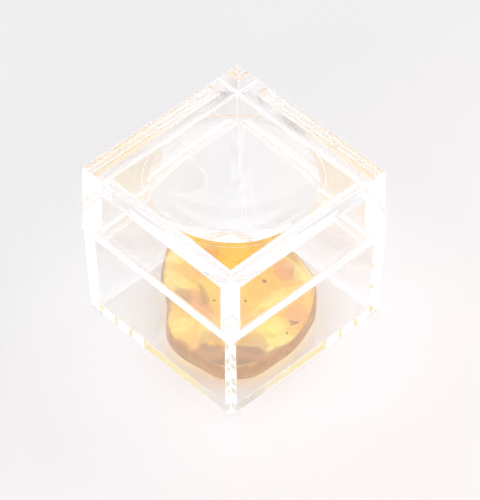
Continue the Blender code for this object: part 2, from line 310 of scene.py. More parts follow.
class Finishes(bpy.types.PropertyGroup):
    plastic: colour("Plastic", "Tint of the clear plastic", (0.998, 0.999, 1.0))
    amber: colour("Amber", "Colour left after a long way through it", (0.998, 0.966, 0.56))
    amber_density: amount("Amber density", "How fast the amber soaks up light", 430.0)
    # Glow: painted light, a faint emission that brightens the amber, though it is no lamp
    painted_glow: colour("Glow", "Colour of the light scattered inside the amber", (1.0, 0.62, 0.22))
    painted_glow_strength: amount("Glow strength", "Strength of the light scattered inside", 0.03)
    rind: colour("Rind", "Colour of the weathered rind left at the sides", (0.34, 0.20, 0.32))
    underside: colour("Underside", "Tint of the rough underside", (1.0, 0.72, 0.30))
    chitin: colour("Chitin", "Colour of the insects' shells", (0.24, 0.095, 0.028))
    wing: colour("Wing", "Colour of the gnat's wings", (0.42, 0.22, 0.07))
    eye: colour("Eye", "Colour of the insects' eyes", (0.05, 0.008, 0.006))
    bark: colour("Bark", "Colour of the crumbs", (0.10, 0.040, 0.014))
    ground: colour("Ground", "Colour of the ground behind it", (0.623, 0.616, 0.616))
    # The lighter ground to the right is painted light
    painted_lit_ground: colour("Near ground", "Colour of the ground to the right", (0.705, 0.665, 0.659))
    light: colour("Light", "Colour of the soft light", (0.985, 0.985, 1.0))
    dim_light: colour("Dim light", "Colour of the dim slit behind", (0.514, 0.475, 0.429))
    opening: colour("Opening", "Colour of the opening at the camera", (0.327, 0.304, 0.296))
    warm_light: colour("Warm light", "Colour at both sides of the slit", (0.655, 0.540, 0.240))
    light_strength: amount("Light strength", "Strength of the soft light", 1.45)


def set_inputs(tree, node, inputs):
    """Sets a node's inputs, each to a value, a colour or another node's output."""
    for name, value in inputs.items():
        socket = node.inputs[name]
        if isinstance(value, bpy.types.NodeSocket):
            tree.links.new(value, socket)
        elif socket.type == "RGBA":
            socket.default_value = (*tuple(value)[:3], 1.0)
        else:
            socket.default_value = value


def add_node(tree, kind, inputs=None, **settings):
    """A node with its settings made and its inputs set."""
    made = tree.nodes.new(kind)
    for name, value in settings.items():
        setattr(made, name, value)
    set_inputs(tree, made, inputs or {})
    return made


def calculate(tree, operation, *values, kind="ShaderNodeMath", output=0):
    """What a Math node makes of its values."""
    return add_node(tree, kind, dict(enumerate(values)), operation=operation).outputs[output]


def combine(tree, operation, *vectors):
    """The vector that a Vector Math node makes of its vectors."""
    return calculate(tree, operation, *vectors, kind="ShaderNodeVectorMath")


def measure(tree, operation, *vectors):
    """The number that a Vector Math node makes of its vectors, such as their distance."""
    return calculate(tree, operation, *vectors, kind="ShaderNodeVectorMath", output="Value")


def part(tree, vector, axis):
    return add_node(tree, "ShaderNodeSeparateXYZ", {"Vector": vector}).outputs[axis]


def fade(tree, value, ends, results=(0.0, 1.0), smooth=True):
    """A value between two ends turned into one between two results, and held beyond them."""
    inputs = dict(enumerate((value, *ends, *results)))
    kind = "SMOOTHSTEP" if smooth else "LINEAR"
    return add_node(tree, "ShaderNodeMapRange", inputs, interpolation_type=kind).outputs[0]


def mix(tree, factor, under, over, blend="MIX"):
    """One colour over another. Of a Mix node's inputs, 6 and 7 are its colours."""
    inputs = {0: factor, 6: under, 7: over}
    made = add_node(tree, "ShaderNodeMix", inputs, data_type="RGBA", blend_type=blend)
    return made.outputs[2]


def new_group(name, kind, inputs, outputs):
    """A node group with its sockets, each given by its name, kind and default."""
    tree = bpy.data.node_groups.new(name, kind)
    for direction, sockets in (("INPUT", inputs), ("OUTPUT", outputs)):
        for socket_name, socket_kind, *default in sockets:
            socket = tree.interface.new_socket(
                name=socket_name, in_out=direction, socket_type=f"NodeSocket{socket_kind}"
            )
            if default:
                socket.default_value = default[0]
    return tree, tree.nodes.new("NodeGroupInput").outputs, tree.nodes.new("NodeGroupOutput")


def mottling_group():
    """Two colours clouded into each other, and the mask between them."""
    tree, given, made = new_group(
        "mottling",
        "ShaderNodeTree",
        (
            ("Vector", "Vector"),
            ("Light colour", "Color", (1, 1, 1, 1)),
            ("Dark colour", "Color", (0, 0, 0, 1)),
            ("Clouds per metre", "Float", 300.0),
            ("Dark from", "Float", 0.45),
            ("Dark to", "Float", 0.65),
        ),
        (("Color", "Color"), ("Mask", "Float")),
    )
    inputs = {"Vector": given["Vector"], "Scale": given["Clouds per metre"], "Detail": 4.0}
    clouds = add_node(tree, "ShaderNodeTexNoise", inputs).outputs["Fac"]
    mask = fade(tree, clouds, (given["Dark from"], given["Dark to"]))
    mixed = mix(tree, mask, given["Light colour"], given["Dark colour"])
    set_inputs(tree, made, {"Color": mixed, "Mask": mask})
    return tree


def handling_group():
    """Fine rubs and dust from handling: a roughness and a height."""
    tree, given, made = new_group(
        "handling marks",
        "ShaderNodeTree",
        (
            ("Vector", "Vector"),
            ("Clean roughness", "Float", 0.0),
            ("Rubbed roughness", "Float", 0.1),
            ("Rubs per metre", "Float", 500.0),
            ("Rubbed share", "Float", 0.3),
        ),
        (("Roughness", "Float"), ("Height", "Float")),
    )
    inputs = {"Vector": given["Vector"], "Scale": (1, 0.25, 0.6), "Rotation": (0.3, 0.5, 0.7)}
    stretched = add_node(tree, "ShaderNodeMapping", inputs).outputs[0]
    inputs = {"Scale": given["Rubs per metre"], "Detail": 5.0, "Roughness": 0.65}
    rubs = add_node(tree, "ShaderNodeTexNoise", {"Vector": stretched, **inputs})
    height = rubs.outputs["Fac"]
    start = calculate(tree, "SUBTRACT", 0.75, given["Rubbed share"])
    ends = (given["Clean roughness"], given["Rubbed roughness"])
    roughness = fade(tree, height, (start, 0.85), ends, smooth=False)
    set_inputs(tree, made, {"Roughness": roughness, "Height": height})
    return tree


def stain_group():
    """One soft-edged oval of another tint laid over a colour."""
    tree, given, made = new_group(
        "stain",
        "ShaderNodeTree",
        (
            ("Vector", "Vector"),
            ("Under", "Color", (1, 1, 1, 1)),
            ("Tint", "Color", (1, 1, 1, 1)),
            ("Centre", "Vector"),
            ("Turn", "Vector"),
            ("Reach", "Vector", (0.001, 0.001, 1.0)),
            ("Inner edge", "Float", 0.8),
            ("Outer edge", "Float", 1.2),
        ),
        (("Color", "Color"),),
    )
    lie = {"Location": given["Centre"], "Rotation": given["Turn"], "Scale": given["Reach"]}
    inputs = {"Vector": given["Vector"], **lie}
    placed = add_node(tree, "ShaderNodeMapping", inputs, vector_type="TEXTURE").outputs[0]
    away = measure(tree, "LENGTH", placed)
    mask = fade(tree, away, (given["Inner edge"], given["Outer edge"]), (1.0, 0.0))
    set_inputs(tree, made, {"Color": mix(tree, mask, given["Under"], given["Tint"])})
    return tree


def group_node(tree, name, maker, *values):
    """What a group puts out for its inputs' values. It is made when first asked for."""
    group = bpy.data.node_groups.get(name) or maker()
    return add_node(tree, "ShaderNodeGroup", dict(enumerate(values)), node_tree=group).outputs


def mottled(tree, place, light, dark, clouds, dark_ends):
    values = (place, light, dark, clouds, *dark_ends)
    return group_node(tree, "mottling", mottling_group, *values)


def handled(tree, place, clean, rubbed, rubs, rubbed_share):
    values = (place, clean, rubbed, rubs, rubbed_share)
    return group_node(tree, "handling marks", handling_group, *values)


def stained(tree, place, under, stains):
    """A colour with soft ovals of other tints laid over it."""
    for centre, long, wide, turn, soft, tint in stains:
        lie = (0.0, 0.0, EIGHTH_TURN + math.radians(turn))
        oval = (diagonal_place(centre, 0.0), lie, (long / 2, wide / 2, 1.0))
        values = (place, under, TINTS[tint], *oval, 1.0 - soft, 1.0 + soft)
        under = group_node(tree, "stain", stain_group, *values)["Color"]
    return under


def wandering(tree, place, waves, reach):
    """Coordinates pushed about by noise, so that drawn borders aren't even."""
    inputs = {"Vector": place, "Scale": waves, "Detail": 3.0}
    wander = add_node(tree, "ShaderNodeTexNoise", inputs).outputs["Color"]
    centred = combine(tree, "SUBTRACT", wander, (0.5, 0.5, 0.5))
    return combine(tree, "ADD", place, combine(tree, "MULTIPLY", centred, [reach] * 3))


def darker(tint, share):
    return [share * value for value in tint]


def new_finish(name):
    """A material with its shader and the coordinates its patterns follow."""
    made = bpy.data.materials.new(name)
    made.use_nodes = True
    tree = made.node_tree
    place = add_node(tree, "ShaderNodeTexCoord").outputs["Object"]
    return made, tree, tree.nodes["Principled BSDF"], place


def raise_bumps(tree, shader, height, distance, strength):
    inputs = {"Strength": strength, "Distance": distance, "Height": height}
    bumps = add_node(tree, "ShaderNodeBump", inputs).outputs["Normal"]
    set_inputs(tree, shader, {"Normal": bumps})


def plastic_finish(name, turn, matt_levels=()):
    """Crystal polystyrene: clear, glossy, faintly rubbed, matt at the given levels."""
    made, tree, shader, place = new_finish(name)
    inputs = {"Vector": place, "Rotation": (0.0, 0.0, turn)}
    turned = add_node(tree, "ShaderNodeMapping", inputs).outputs[0]
    marks = handled(tree, turned, *PLASTIC_RUBS)
    roughness = marks["Roughness"]
    height = part(tree, place, "Z")
    for level, reach, matt in matt_levels:
        away = calculate(tree, "ABSOLUTE", calculate(tree, "SUBTRACT", height, level))
        frosted = fade(tree, away, (reach, 1.1 * reach), (matt, 0.0), smooth=False)
        roughness = calculate(tree, "MAXIMUM", roughness, frosted)
    tint = bpy.context.scene.specimen_finishes.plastic
    set_inputs(tree, shader, {"Base Color": tint, "Roughness": roughness})
    set_inputs(tree, shader, {"Transmission Weight": 1.0, "IOR": PLASTIC_IOR})
    raise_bumps(tree, shader, marks["Height"], *PLASTIC_BUMPS)
    return made


def amber_finish():
    """Clear honey resin, stained underneath and darker on the top at the front, with brown rind on
    its sides and a faint painted glow that brightens it, though it is no lamp.
    """
    values = bpy.context.scene.specimen_finishes
    made, tree, shader, place = new_finish("amber")
    flow = mottled(tree, place, (1.0, 1.0, 1.0), RESIN_TINT, *RESIN_CLOUDS)
    rough = mottled(tree, place, values.underside, UNDERSIDE_TINT, *UNDERSIDE_CLOUDS)
    rind = mottled(tree, place, values.rind, darker(values.rind, RIND_SHARE), *RIND_CLOUDS)
    moved = wandering(tree, place, *BORDER_WANDER)
    # The top turns darker at the front
    top = stained(tree, moved, flow["Color"], FRONT_TINTS)
    below = stained(tree, moved, rough["Color"], STAINS)
    ends = [AMBER_LOW.z + end for end in UNDERSIDE_ENDS]
    underneath = fade(tree, part(tree, place, "Z"), ends, (1.0, 0.0), smooth=False)
    facing = add_node(tree, "ShaderNodeNewGeometry").outputs["Normal"]
    lean = calculate(tree, "ABSOLUTE", part(tree, facing, "Z"))
    side = fade(tree, lean, RIND_ENDS, (1.0, 0.0), smooth=False)
    marks = handled(tree, place, *AMBER_RUBS)
    ends = {0: side, 2: marks["Roughness"], 3: SIDE_ROUGHNESS}
    matt = add_node(tree, "ShaderNodeMix", ends, data_type="FLOAT").outputs[0]
    tint = mix(tree, side, mix(tree, underneath, top, below), rind["Color"])
    # Painted light: the faint glow is emission that brightens the amber, though it is no lamp
    painted_glow = {"Emission Color": values.painted_glow, "Emission Strength": values.painted_glow_strength}
    set_inputs(tree, shader, {"Base Color": tint, "Roughness": matt, **painted_glow})
    set_inputs(tree, shader, {"Transmission Weight": 1.0, "IOR": AMBER_IOR})
    raise_bumps(tree, shader, marks["Height"], *AMBER_BUMPS)
    inputs = {"Color": values.amber, "Density": values.amber_density}
    soak = add_node(tree, "ShaderNodeVolumeAbsorption", inputs).outputs["Volume"]
    set_inputs(tree, tree.nodes["Material Output"], {"Volume": soak})
    return made


def shell_finish(name):
    """Chitin or bark: a mottled colour with a pitted surface."""
    tint_name, dark, roughness, coat, clouds, pits, depth = SHELLS[name]
    tint = getattr(bpy.context.scene.specimen_finishes, tint_name)
    made, tree, shader, place = new_finish(name)
    clouded = mottled(tree, place, tint, darker(tint, dark), clouds, (0.40, 0.62))
    inputs = {"Vector": place, "Scale": pits}
    pitting = add_node(tree, "ShaderNodeTexVoronoi", inputs, feature="SMOOTH_F1").outputs[0]
    ends = (roughness, min(1.0, roughness + 0.2))
    worn = fade(tree, clouded["Mask"], (0.0, 1.0), ends, smooth=False)
    inputs = {"Base Color": clouded["Color"], "Roughness": worn, "Coat Weight": coat}
    set_inputs(tree, shader, inputs)
    raise_bumps(tree, shader, pitting, depth, 0.6)
    return made


def wing_finish():
    """A smoky wing membrane with darker veins."""
    values = bpy.context.scene.specimen_finishes
    made, tree, shader, place = new_finish("wing membrane")
    inputs = {"Vector": place, "Scale": WING_CELLS}
    cells = add_node(tree, "ShaderNodeTexVoronoi", inputs, feature="DISTANCE_TO_EDGE")
    away = cells.outputs["Distance"]
    tint = mix(tree, fade(tree, away, VEIN_EDGE, smooth=False), values.chitin, values.wing)
    solid = fade(tree, away, VEIN_EDGE, (0.85, 0.35), smooth=False)
    set_inputs(tree, shader, {"Base Color": tint, "Alpha": solid, "Roughness": 0.3})
    return made


def ground_finish():
    """Pale board with a faint tooth, warmer and, as painted light, lighter to the right, with a
    painted pool of light round the box and a painted shade near its back corner.
    """
    values = bpy.context.scene.specimen_finishes
    made, tree, shader, place = new_finish("pale ground")
    # Painted light: the ground turns lighter to the right
    near = fade(tree, part(tree, place, "X"), (-GROUND_TURN, GROUND_TURN))
    painted_light_board = mix(tree, near, values.ground, values.painted_lit_ground)
    # A painted pool of light round the box
    pool = fade(tree, measure(tree, "LENGTH", place), POOL_REACH, (POOL_GAIN, 1.0))
    # A painted shade on the ground near the box's back corner
    away = measure(tree, "DISTANCE", place, SHADE_PLACE)
    shade = fade(tree, away, SHADE_REACH, (SHADE_DEPTH, 1.0))
    lit = mix(tree, 1.0, painted_light_board, calculate(tree, "MULTIPLY", pool, shade), "MULTIPLY")
    dark = mix(tree, 1.0, lit, [GROUND_MOTTLING] * 3, "MULTIPLY")
    tooth = mottled(tree, place, lit, dark, *GROUND_TOOTH)
    inputs = {"Base Color": tooth["Color"], "Roughness": 0.9, "Specular IOR Level": 0.0}
    set_inputs(tree, shader, inputs)
    return made


def piece(name, mesh, finish, replaced=()):
    """A finished piece: its object at the origin, its place in its mesh, riding on the box."""
    made = bpy.data.objects.new(name, mesh)
    bpy.context.scene.collection.objects.link(made)
    if not mesh.materials:
        mesh.materials.append(finish)
    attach(made, "root")
    if replaced:
        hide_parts(*replaced)
    return made


def mesh_of(name, bm):
    """The finished mesh, smooth and with its faces outwards."""
    bmesh.ops.recalc_face_normals(bm, faces=bm.faces)
    for face in bm.faces:
        face.smooth = True
    return plain_mesh(name, bm)


def plain_mesh(name, bm):
    mesh = bpy.data.meshes.new(name)
    bm.to_mesh(mesh)
    bm.free()
    return mesh


def even_normals(made):
    """Keeps flats flat where they meet a rounding."""
    weigh = made.modifiers.new("even normals", "WEIGHTED_NORMAL")
    weigh.mode = "FACE_AREA"
    weigh.weight = 100
    weigh.keep_sharp = True


def diagonal_place(place, level):
    """A point given across and deep in the box's diagonal frame, in the box's own."""
    turned = Matrix.Rotation(EIGHTH_TURN, 3, "Z") @ Vector((place[0], place[1], 0.0))
    return Vector((turned.x, turned.y, level))


def sealed_place(place, turn, long):
    """Where something lies in the amber, with its length as the unit."""
    centre = Matrix.Translation(diagonal_place(place, SEALED_LEVEL))
    return centre @ Matrix.Rotation(turn, 4, "Z") @ Matrix.Scale(long, 4)


def square_ring(half, corner, level):
    """Points round a square with rounded uprights, anticlockwise seen from above."""
    points = []
    straight = half - corner
    for side in range(4):
        out = Vector((math.cos(side * math.pi / 2), math.sin(side * math.pi / 2), 0.0))
        along = Vector((-out.y, out.x, 0.0))
        for step in range(SIDE_STEPS + 1):
            angle = EIGHTH_TURN * (2 * step / SIDE_STEPS - 1)
            points.append(out * half + along * straight * math.tan(angle))
        centre = (out + along) * straight
        for step in range(1, CORNER_STEPS):
            angle = math.pi / 2 * step / CORNER_STEPS
            points.append(centre + (out * math.cos(angle) + along * math.sin(angle)) * corner)
    return [Vector((point.x, point.y, level)) for point in points]


def round_ring(radius, level):
    """As many points as a square ring has, round a circle."""
    points = []
    corner_share = 0.08
    side_turn = EIGHTH_TURN * (1 - corner_share)
    corner_turn = 2 * EIGHTH_TURN * corner_share
    for side in range(4):
        middle = side * math.pi / 2
        turns = [side_turn * (2 * step / SIDE_STEPS - 1) for step in range(SIDE_STEPS + 1)]
        turns += [side_turn + corner_turn * step / CORNER_STEPS for step in range(1, CORNER_STEPS)]
        for turn in turns:
            x, y = math.cos(middle + turn), math.sin(middle + turn)
            points.append(Vector((radius * x, radius * y, level)))
    return points


def clipped_ring(radius, wall, level):
    """A circle cut off where it would run into the walls."""
    ring = []
    for point in round_ring(1.0, level):
        reach = min(radius, wall / max(abs(point.x), abs(point.y)))
        ring.append(Vector((reach * point.x, reach * point.y, level)))
    return ring


def rounding(half, corner, level, radius, start, end, steps):
    """Square rings along a rounded edge. The angles are in degrees: 0 looks outwards, 90 up."""
    rings = []
    for step in range(steps + 1):
        angle = math.radians(start + (end - start) * step / steps)
        out = radius * math.cos(angle)
        ring_corner = max(corner + out - radius, LEAST_CORNER)
        rings.append(square_ring(half + out, ring_corner, level + radius * math.sin(angle)))
    return rings


def skin(bm, loops):
    """Faces between each loop of vertices and the next."""
    for near, far in zip(loops, loops[1:]):
        for index in range(len(near)):
            after = (index + 1) % len(near)
            bm.faces.new((near[index], near[after], far[after], far[index]))


def fan(bm, loop, place):
    """Faces from a loop of vertices to a point."""
    tip = bm.verts.new(place)
    for near, far in zip(loop, loop[1:] + loop[:1]):
        bm.faces.new((near, far, tip))


def loft(name, rings, creases=(), tip=None):
    """A closed mesh through rings of as many points, its last end flat or drawn to a tip."""
    bm = bmesh.new()
    loops = [[bm.verts.new(point) for point in ring] for ring in rings]
    skin(bm, loops)
    bm.faces.new(loops[0])
    if tip is None:
        bm.faces.new(loops[-1])
    else:
        fan(bm, loops[-1], tip)
    for number in creases:
        loop = loops[number]
        for near, far in zip(loop, loop[1:] + loop[:1]):
            bm.edges.get((near, far)).smooth = False
    return mesh_of(name, bm)


def add_egg(bm, matrix, sides, start, end, wide, high, lift, steps, tip=0.08, dent=0.0, rings=0):
    """A closed egg along x with blunt tips, pinched where its segments meet."""
    loops = []
    for step in range(steps + 1):
        t = step / steps
        swell = math.sqrt(max(1 - (2 * t - 1) ** 2, tip * tip))
        if rings:
            swell *= 1 - dent * abs(math.cos(math.pi * rings * t)) ** 6
        x = start + (end - start) * t
        loop = []
        for side in range(sides):
            angle = math.tau * side / sides
            y, z = wide * swell * math.cos(angle), lift + high * swell * math.sin(angle)
            loop.append(bm.verts.new(matrix @ Vector((x, y, z))))
        loops.append(loop)
    skin(bm, loops)
    bm.faces.new(loops[0])
    bm.faces.new(loops[-1])


class SPECIMEN_OT_box_base(bpy.types.Operator):
    """Builds the box's base, an open cup of even wall"""

    bl_idname = "specimen.box_base"
    bl_label = "Box base"

    def execute(self, context):
        sizes = context.scene.specimen_box
        edge = sizes.edge_radius
        corner = sizes.corner_radius
        shoulder = BASE_HIGH.z
        foot = sizes.foot_width / 2
        top = sizes.shoulder_width / 2
        inside_top = top - sizes.base_wall + BASE_RIM
        inside_foot = foot + (top - foot) * sizes.floor / shoulder - sizes.base_wall
        rim_level = shoulder - BASE_RIM
        rings = rounding(foot - edge, corner, edge, edge, -90, 0, EDGE_STEPS)
        rings += rounding(top - edge, corner, shoulder - edge, edge, 0, 90, EDGE_STEPS)
        rings += rounding(inside_top, corner - BASE_RIM, rim_level, BASE_RIM, 90, 180, 4)
        for degrees in range(0, 91, 15):
            angle = math.radians(degrees)
            inset = BASE_FILLET * (1 - math.cos(angle))
            level = sizes.floor + BASE_FILLET * (1 - math.sin(angle))
            ring_corner = max(corner - inset, BASE_INNER_CORNER)
            rings.append(square_ring(inside_foot - inset, ring_corner, level))
        mesh = loft("box_base_clear", rings)
        finish = plastic_finish("base plastic", 0.4)
        even_normals(piece("box_base_clear", mesh, finish, ("box_base",)))
        return {"FINISHED"}


class SPECIMEN_OT_box_lid(bpy.types.Operator):
    """Builds the lid, a thick clear cap with the lens bulging from its underside"""

    bl_idname = "specimen.box_lid"
    bl_label = "Box lid"

    def execute(self, context):
        sizes = context.scene.specimen_box
        edge = sizes.edge_radius
        corner = sizes.corner_radius
        top, foot = LID_HIGH.z, sizes.lid_foot
        half_top, half_foot = sizes.lid_top_width / 2, sizes.lid_width / 2
        rings = rounding(half_top - edge, corner, top - edge, edge, 90, 0, EDGE_STEPS)
        rings += rounding(half_foot - edge, corner, foot + edge, edge, 0, -90, EDGE_STEPS)

        # The lip that stands inside the base's rim
        lip = sizes.shoulder_width / 2 - sizes.base_wall - LIP_CLEARANCE
        mouth = lip - sizes.lip_wall
        end = LIP_END_SHARE * sizes.lip_wall
        rings.append(square_ring(lip, corner, foot + sizes.foot_rise))
        under_foot = len(rings) - 1
        rings += rounding(lip - end, corner, LID_LOW.z + end, end, 0, -90, EDGE_STEPS)
        rings += rounding(mouth + end, corner, LID_LOW.z + end, end, -90, -180, EDGE_STEPS)
        rings.append(square_ring(mouth, corner, foot))

        # The inner wall, up to the underside of the top plate
        inside = half_foot - sizes.lid_wall
        ceiling = top - sizes.plate
        rings.append(square_ring(inside, corner, foot))
        ledge = len(rings) - 1
        for degrees in (0, 22, 45, 68, 90):
            angle = math.radians(degrees)
            half = inside - LID_DRAFT - LID_FILLET * (1 - math.cos(angle))
            rings.append(square_ring(half, corner, ceiling - LID_FILLET * (1 - math.sin(angle))))

        # The low step round the lens, and the lens
        flat = inside - LID_DRAFT - LID_FILLET
        wall = flat - STEP_INSET
        radius = min(sizes.lens_radius, flat)
        reach = radius + sizes.step_width
        seat = ceiling - sizes.lens_step
        rings.append(clipped_ring(reach, wall, ceiling))
        rings.append(clipped_ring(reach - STEP_BEVEL, wall - STEP_BEVEL, seat))
        rim = len(rings)
        for ring in range(LENS_RINGS, 0, -1):
            share = ring / LENS_RINGS
            level = seat - sizes.lens_bulge * (1 - share * share)
            rings.append(round_ring(radius * share, level))
        creases = (under_foot, ledge - 1, ledge, rim - 2, rim - 1, rim)
        mesh = loft("box_lid_clear", rings, creases, Vector((0, 0, seat - sizes.lens_bulge)))
        matt_levels = (
            ((LID_LOW.z + foot) / 2, LIP_MATT_REACH, LIP_MATT),
            (foot + sizes.foot_rise / 2, FOOT_MATT_REACH, FOOT_MATT),
        )
        finish = plastic_finish("lid plastic", 0.0, matt_levels)
        even_normals(piece("box_lid_clear", mesh, finish, ("box_lid",)))
        return {"FINISHED"}


def amber_outline(steps):
    """The outline as evenly spaced points, with the way out at each."""
    curve = bpy.data.curves.new("amber outline", "CURVE")
    curve.dimensions = "2D"
    curve.fill_mode = "NONE"
    curve.resolution_u = 24
    line = curve.splines.new("BEZIER")
    line.use_cyclic_u = True
    line.bezier_points.add(len(AMBER_OUTLINE) - 1)
    for point, place in zip(line.bezier_points, AMBER_OUTLINE):
        point.co = diagonal_place(place, 0.0)
        point.handle_left_type = "AUTO"
        point.handle_right_type = "AUTO"
    made = bpy.data.objects.new("amber outline", curve)
    bpy.context.scene.collection.objects.link(made)
    bpy.context.view_layer.update()
    dense = [vertex.co.to_2d() for vertex in made.to_mesh().vertices]
    bpy.data.objects.remove(made, do_unlink=True)
    dense.append(dense[0])
    spans = [(far - near).length for near, far in zip(dense, dense[1:])]
    whole = sum(spans)
    points = []
    index, passed = 0, 0.0
    for step in range(steps):
        goal = whole * step / steps
        while passed + spans[index] < goal:
            passed += spans[index]
            index += 1
        points.append(dense[index].lerp(dense[index + 1], (goal - passed) / spans[index]))
    outs = []
    for index in range(steps):
        along = points[(index + 3) % steps] - points[index - 3]
        outs.append(Vector((along.y, -along.x)).normalized())
    return points, outs


def facet_level(x, y, top):
    """The lowest facet over a point of the amber's top."""
    level = top
    for place, sunk, tilt, falls in FACETS:
        middle = diagonal_place(place, 0.0)
        way = math.radians(falls) + EIGHTH_TURN
        along = (x - middle.x) * math.cos(way) + (y - middle.y) * math.sin(way)
        plane = top - sunk - math.tan(math.radians(tilt)) * along
        blend = max(0.0, min(1.0, 0.5 + 0.5 * (plane - level) / FACET_SOFTNESS))
        rounded = FACET_SOFTNESS * blend * (1 - blend)
        level = plane * (1 - blend) + level * blend - rounded
    return level


class SPECIMEN_OT_amber(bpy.types.Operator):
    """Builds the amber in one piece: polished top with worn facets, hollows underneath"""

    bl_idname = "specimen.amber"
    bl_label = "Amber"

    def execute(self, context):
        sizes = context.scene.specimen_amber
        bottom, top = AMBER_LOW.z, AMBER_HIGH.z
        edge = sizes.edge
        points, outs = amber_outline(AMBER_SIDES)
        middle = sum(points, Vector((0, 0))) / len(points)
        inner = [point - out * edge for point, out in zip(points, outs)]

        def flat_ring(ring, level):
            return [(middle.lerp(point, ring / AMBER_FLAT_RINGS), level) for point in inner]

        rings = [flat_ring(ring, top) for ring in range(1, AMBER_FLAT_RINGS + 1)]
        for ring in range(1, AMBER_EDGE_RINGS + 1):
            angle = math.pi / 2 - math.pi * ring / AMBER_EDGE_RINGS
            inset = edge * (1 - math.cos(angle))
            level = (top - edge if angle >= 0 else bottom + edge) + edge * math.sin(angle)
            rings.append([(point - out * inset, level) for point, out in zip(points, outs)])
        rings += [flat_ring(ring, bottom) for ring in range(AMBER_FLAT_RINGS - 1, 0, -1)]

        bm = bmesh.new()
        loops = []
        for ring in rings:
            loops.append([bm.verts.new(self.shaped(*point, sizes)) for point in ring])
        skin(bm, loops)
        for loop, level in ((loops[0], top), (loops[-1], bottom)):
            fan(bm, loop, self.shaped(middle, level, sizes))
        mesh = mesh_of("amber_stone", bm)
        piece("amber_stone", mesh, amber_finish(), ("amber_lower", "amber_upper"))
        return {"FINISHED"}

    def shaped(self, place, level, sizes):
        """A point of the plain form with facets, swells and hollows worked in."""
        bottom, top = AMBER_LOW.z, AMBER_HIGH.z
        x, y = place
        high = (level - bottom) / (top - bottom)
        level = min(level, facet_level(x, y, top))
        swell = noise.noise(Vector((x, y, 0.0)) / WIDE_SWELL)
        swell += NARROW_SHARE * noise.noise(Vector((x, y, 0.01)) / NARROW_SWELL)
        if high > SWELLS_ABOVE:
            level += sizes.unevenness * (swell - 1.0)
        if high < HOLLOWS_BELOW:
            spot = Vector((x, y, 0.0)) / sizes.hollow_width + Vector((0.3, 0.1, 0.0))
            away = noise.voronoi(spot)[0][0]
            dish = max(0.0, 1.0 - (away / HOLLOW_REACH) ** 2)
            uneven = 1 - HOLLOW_UNEVENNESS + HOLLOW_UNEVENNESS * swell
            level += sizes.hollows * dish * uneven * (1 - high / HOLLOWS_BELOW)
        return Vector((x, y, level))


def end_tree(tree, made, name, geometry, finish):
    """Ends a tree: copies made real, the finish set, and all put out by name."""
    real = add_node(tree, "GeometryNodeRealizeInstances", {"Geometry": geometry}).outputs[0]
    inputs = {"Geometry": real, "Material": finish}
    coated = add_node(tree, "GeometryNodeSetMaterial", inputs).outputs[0]
    set_inputs(tree, made, {name: coated})


def speck_tree():
    """Specks scattered over a patch, each at its own depth, turn and size."""
    tree, given, made = new_group(
        "specks",
        "GeometryNodeTree",
        (
            ("Patch", "Geometry"),
            ("Density", "Float", 100.0),
            ("Size", "Float", 0.0001),
            ("Depth", "Float", 0.001),
            ("Seed", "Int", 1),
            ("Finish", "Material"),
        ),
        (("Specks", "Geometry"),),
    )

    def draw(low, high):
        inputs = {0: low, 1: high, "Seed": given["Seed"]}
        kind = "FunctionNodeRandomValue"
        return add_node(tree, kind, inputs, data_type="FLOAT_VECTOR").outputs[0]

    inputs = {"Mesh": given["Patch"], "Density": given["Density"], "Seed": given["Seed"]}
    spread = add_node(tree, "GeometryNodeDistributePointsOnFaces", inputs).outputs["Points"]
    sink = combine(tree, "MULTIPLY", draw((0, 0, -1), (0, 0, 1)), given["Depth"])
    inputs = {"Geometry": spread, "Offset": sink}
    placed = add_node(tree, "GeometryNodeSetPosition", inputs).outputs["Geometry"]
    inputs = {"Radius": 0.5, "Subdivisions": 1}
    speck = add_node(tree, "GeometryNodeMeshIcoSphere", inputs).outputs["Mesh"]
    turn = draw((0, 0, 0), (6.28, 6.28, 6.28))
    size = combine(tree, "MULTIPLY", draw((0.4, 0.5, 0.3), (1.6, 1.1, 0.8)), given["Size"])
    inputs = {"Points": placed, "Instance": speck, "Rotation": turn, "Scale": size}
    copies = add_node(tree, "GeometryNodeInstanceOnPoints", inputs).outputs["Instances"]
    end_tree(tree, made, "Specks", copies, given["Finish"])
    return tree


def leg_tree():
    """Tubes along the edges of a mesh, each as thick as its points say."""
    tree, given, made = new_group(
        "legs",
        "GeometryNodeTree",
        (
            ("Paths", "Geometry"),
            ("Radius", "Float", 0.00002),
            ("Sides", "Int", 8),
            ("Finish", "Material"),
        ),
        (("Legs", "Geometry"),),
    )
    line = add_node(tree, "GeometryNodeMeshToCurve", {"Mesh": given["Paths"]}).outputs[0]
    thick = add_node(
        tree, "GeometryNodeInputNamedAttribute", {"Name": "thick"}, data_type="FLOAT"
    ).outputs["Attribute"]
    inputs = {"Resolution": given["Sides"], "Radius": given["Radius"]}
    ring = add_node(tree, "GeometryNodeCurvePrimitiveCircle", inputs).outputs["Curve"]
    inputs = {"Curve": line, "Profile Curve": ring, "Scale": thick, "Fill Caps": True}
    tube = add_node(tree, "GeometryNodeCurveToMesh", inputs).outputs["Mesh"]
    end_tree(tree, made, "Legs", tube, given["Finish"])
    return tree


def grown(name, mesh, tree, values):
    """The plain mesh that a node tree makes of a mesh, its inputs set by name."""
    holder = bpy.data.objects.new(name, mesh)
    bpy.context.scene.collection.objects.link(holder)
    step = holder.modifiers.new(name, "NODES")
    step.node_group = tree
    for item in tree.interface.items_tree:
        if item.item_type == "SOCKET" and item.in_out == "INPUT" and item.name in values:
            step[item.identifier] = values[item.name]
    graph = bpy.context.evaluated_depsgraph_get()
    graph.update()
    made = bpy.data.meshes.new_from_object(holder.evaluated_get(graph))
    made.name = name
    bpy.data.objects.remove(holder, do_unlink=True)
    return made


